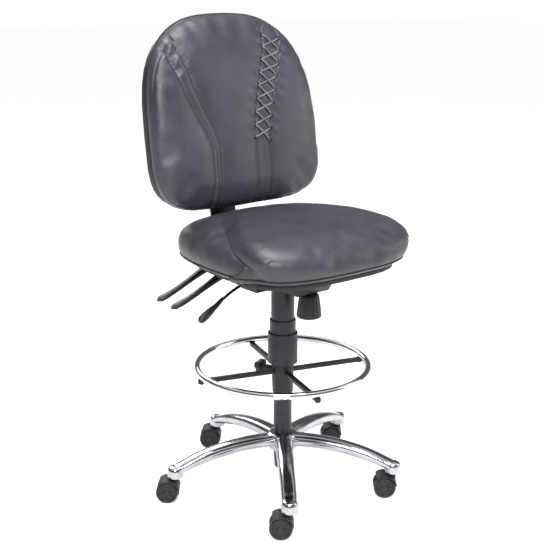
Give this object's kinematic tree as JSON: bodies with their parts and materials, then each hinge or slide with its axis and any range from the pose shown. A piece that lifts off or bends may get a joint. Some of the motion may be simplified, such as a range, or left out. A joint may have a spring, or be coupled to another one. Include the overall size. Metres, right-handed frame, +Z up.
{
  "type": "drafting chair",
  "caption": "Tall drafting chair with a padded seat and back, a gas column, a foot ring, tilt and height levers, and a polished star base on casters.",
  "frame": {"origin": "centre of the chair's bounding box at floor level, under the casters; the gas column's axis stands 14 mm towards +X and 34 mm towards -Y from it", "axes": "+Z up, -Y the way the sitter faces, -X the sitter's right hand, where the levers are"},
  "size_m": [0.6686, 0.6504, 1.2709],
  "materials": {
    "polished_aluminium": "mirror-polished die casting",
    "chrome_plate": "bright chrome plate",
    "plain_steel": "machined, satin",
    "satin_cover": "satin black moulding",
    "coated_tube": "satin black paint",
    "dark_plastic": "moulded black, lightly textured",
    "black_steel": "black powder coat",
    "nylon": "natural moulded nylon",
    "plywood": "bare birch plywood",
    "leather": "charcoal upholstery, soft sheen"
  },
  "bodies": {
    "base": {"base_star": "polished_aluminium", "column_tube": "coated_tube", "guide_bush": "nylon", "thrust_bearing": "plain_steel", "cover_lower": "satin_cover"},
    "caster_1": {"caster_stem_1": "plain_steel", "caster_hood_1": "dark_plastic", "caster_axle_1": "plain_steel"},
    "wheel_left_1": {"wheel_left_1": "dark_plastic"},
    "wheel_right_1": {"wheel_right_1": "dark_plastic"},
    "caster_2": {"caster_stem_2": "plain_steel", "caster_hood_2": "dark_plastic", "caster_axle_2": "plain_steel"},
    "wheel_left_2": {"wheel_left_2": "dark_plastic"},
    "wheel_right_2": {"wheel_right_2": "dark_plastic"},
    "caster_3": {"caster_stem_3": "plain_steel", "caster_hood_3": "dark_plastic", "caster_axle_3": "plain_steel"},
    "wheel_left_3": {"wheel_left_3": "dark_plastic"},
    "wheel_right_3": {"wheel_right_3": "dark_plastic"},
    "caster_4": {"caster_stem_4": "plain_steel", "caster_hood_4": "dark_plastic", "caster_axle_4": "plain_steel"},
    "wheel_left_4": {"wheel_left_4": "dark_plastic"},
    "wheel_right_4": {"wheel_right_4": "dark_plastic"},
    "caster_5": {"caster_stem_5": "plain_steel", "caster_hood_5": "dark_plastic", "caster_axle_5": "plain_steel"},
    "wheel_left_5": {"wheel_left_5": "dark_plastic"},
    "wheel_right_5": {"wheel_right_5": "dark_plastic"},
    "piston": {"piston_rod": "plain_steel", "retaining_clip": "plain_steel"},
    "lift": {"pressure_tube": "black_steel", "cover_upper": "satin_cover", "mechanism_housing": "black_steel", "back_pivot_pin": "plain_steel", "tilt_axle": "plain_steel", "tension_spring": "plain_steel"},
    "cover_middle": {"cover_middle": "satin_cover"},
    "release_button": {"release_button": "plain_steel"},
    "height_lever": {"height_lever_rod": "black_steel", "height_lever_grip": "dark_plastic"},
    "tension_knob": {"tension_knob": "dark_plastic"},
    "seat": {"seat_plate": "black_steel", "seat_board": "plywood", "seat_cushion": "leather"},
    "tilt_lever": {"tilt_lever": "dark_plastic"},
    "back_lever": {"back_lever": "dark_plastic"},
    "back_frame": {"back_bar": "black_steel"},
    "backrest": {"back_sleeve": "satin_cover", "back_shell": "dark_plastic", "back_cushion": "leather"},
    "ring_bush": {"ring_bush": "nylon"},
    "foot_ring": {"foot_ring_tube": "chrome_plate", "ring_spider": "satin_cover", "ring_screw_1": "black_steel", "ring_screw_2": "black_steel", "ring_screw_3": "black_steel", "ring_screw_4": "black_steel"},
    "ring_knob": {"ring_knob": "dark_plastic"}
  },
  "joints": [
    {"name": "caster_swivel_1", "type": "hinge", "parent": "base", "child": "caster_1", "pos_m": [0.30883, 0.0618, 0.068], "axis": [0, 0, 1], "continuous": true},
    {"name": "wheel_left_spin_1", "type": "hinge", "parent": "caster_1", "child": "wheel_left_1", "pos_m": [0.29183, 0.07576, 0.03], "axis": [-0.6347, -0.7727, 0], "continuous": true},
    {"name": "wheel_right_spin_1", "type": "hinge", "parent": "caster_1", "child": "wheel_right_1", "pos_m": [0.29183, 0.07576, 0.03], "axis": [-0.6347, -0.7727, 0], "continuous": true},
    {"name": "caster_swivel_2", "type": "hinge", "parent": "base", "child": "caster_2", "pos_m": [0.014, 0.276, 0.068], "axis": [0, 0, 1], "continuous": true},
    {"name": "wheel_left_spin_2", "type": "hinge", "parent": "caster_2", "child": "wheel_left_2", "pos_m": [-0.003, 0.28996, 0.03], "axis": [-0.6347, -0.7727, 0], "continuous": true},
    {"name": "wheel_right_spin_2", "type": "hinge", "parent": "caster_2", "child": "wheel_right_2", "pos_m": [-0.003, 0.28996, 0.03], "axis": [-0.6347, -0.7727, 0], "continuous": true},
    {"name": "caster_swivel_3", "type": "hinge", "parent": "base", "child": "caster_3", "pos_m": [-0.28083, 0.0618, 0.068], "axis": [0, 0, 1], "continuous": true},
    {"name": "wheel_left_spin_3", "type": "hinge", "parent": "caster_3", "child": "wheel_left_3", "pos_m": [-0.29783, 0.07576, 0.03], "axis": [-0.6347, -0.7727, 0], "continuous": true},
    {"name": "wheel_right_spin_3", "type": "hinge", "parent": "caster_3", "child": "wheel_right_3", "pos_m": [-0.29783, 0.07576, 0.03], "axis": [-0.6347, -0.7727, 0], "continuous": true},
    {"name": "caster_swivel_4", "type": "hinge", "parent": "base", "child": "caster_4", "pos_m": [-0.16821, -0.2848, 0.068], "axis": [0, 0, 1], "continuous": true},
    {"name": "wheel_left_spin_4", "type": "hinge", "parent": "caster_4", "child": "wheel_left_4", "pos_m": [-0.18521, -0.27083, 0.03], "axis": [-0.6347, -0.7727, 0], "continuous": true},
    {"name": "wheel_right_spin_4", "type": "hinge", "parent": "caster_4", "child": "wheel_right_4", "pos_m": [-0.18521, -0.27083, 0.03], "axis": [-0.6347, -0.7727, 0], "continuous": true},
    {"name": "caster_swivel_5", "type": "hinge", "parent": "base", "child": "caster_5", "pos_m": [0.19621, -0.2848, 0.068], "axis": [0, 0, 1], "continuous": true},
    {"name": "wheel_left_spin_5", "type": "hinge", "parent": "caster_5", "child": "wheel_left_5", "pos_m": [0.17921, -0.27083, 0.03], "axis": [-0.6347, -0.7727, 0], "continuous": true},
    {"name": "wheel_right_spin_5", "type": "hinge", "parent": "caster_5", "child": "wheel_right_5", "pos_m": [0.17921, -0.27083, 0.03], "axis": [-0.6347, -0.7727, 0], "continuous": true},
    {"name": "seat_swivel", "type": "hinge", "parent": "base", "child": "piston", "pos_m": [0.014, -0.034, 0.06], "axis": [0, 0, 1], "continuous": true},
    {"name": "seat_height", "type": "slide", "parent": "piston", "child": "lift", "axis": [0, 0, 1], "range_m": [-0.07, 0.09]},
    {"name": "cover_middle_slide", "type": "slide", "parent": "base", "child": "cover_middle", "axis": [0, 0, 1], "range_m": [-0.035, 0.045]},
    {"name": "foot_ring_slide", "type": "slide", "parent": "base", "child": "ring_bush", "axis": [0, 0, 1], "range_m": [-0.1, 0]},
    {"name": "foot_ring_turn", "type": "hinge", "parent": "ring_bush", "child": "foot_ring", "pos_m": [0.014, -0.034, 0.332], "axis": [0, 0, 1], "continuous": true},
    {"name": "ring_knob_turn", "type": "hinge", "parent": "foot_ring", "child": "ring_knob", "pos_m": [-0.01558, 0.02944, 0.3327], "axis": [-0.4226, 0.9063, 0], "range_deg": [-360, 0]},
    {"name": "tension_knob_turn", "type": "hinge", "parent": "lift", "child": "tension_knob", "pos_m": [0.014, -0.142, 0.55], "axis": [0, 0, 1], "range_deg": [-720, 720]},
    {"name": "height_lever_lift", "type": "hinge", "parent": "lift", "child": "height_lever", "pos_m": [-0.006, -0.034, 0.6128], "axis": [0, 1, 0], "range_deg": [0, 10], "stiffness_Nm_per_rad": 0.8, "springref_deg": -17.19},
    {"name": "release_button_slide", "type": "slide", "parent": "lift", "child": "release_button", "axis": [0, 0, 1], "range_m": [-0.0035, 0]},
    {"name": "seat_tilt", "type": "hinge", "parent": "lift", "child": "seat", "pos_m": [0.014, -0.109, 0.611], "axis": [1, 0, 0], "range_deg": [-5, 3]},
    {"name": "tilt_lever_flip", "type": "hinge", "parent": "seat", "child": "tilt_lever", "pos_m": [-0.066, 0.048, 0.616], "axis": [0, 1, 0], "range_deg": [-12, 0]},
    {"name": "back_lever_flip", "type": "hinge", "parent": "seat", "child": "back_lever", "pos_m": [-0.066, 0.13, 0.616], "axis": [0, 1, 0], "range_deg": [-12, 0]},
    {"name": "back_tilt", "type": "hinge", "parent": "lift", "child": "back_frame", "pos_m": [0.014, 0.078, 0.58], "axis": [1, 0, 0], "range_deg": [-15, 3]},
    {"name": "back_height", "type": "slide", "parent": "back_frame", "child": "backrest", "axis": [0, 0.165, 0.9863], "range_m": [0, 0.08]}
  ],
  "couplings": [
    {"joint": "cover_middle_slide", "follows": "seat_height", "ratio": 0.5},
    {"joint": "release_button_slide", "follows": "height_lever_lift", "m_per_rad": -0.0195}
  ]
}
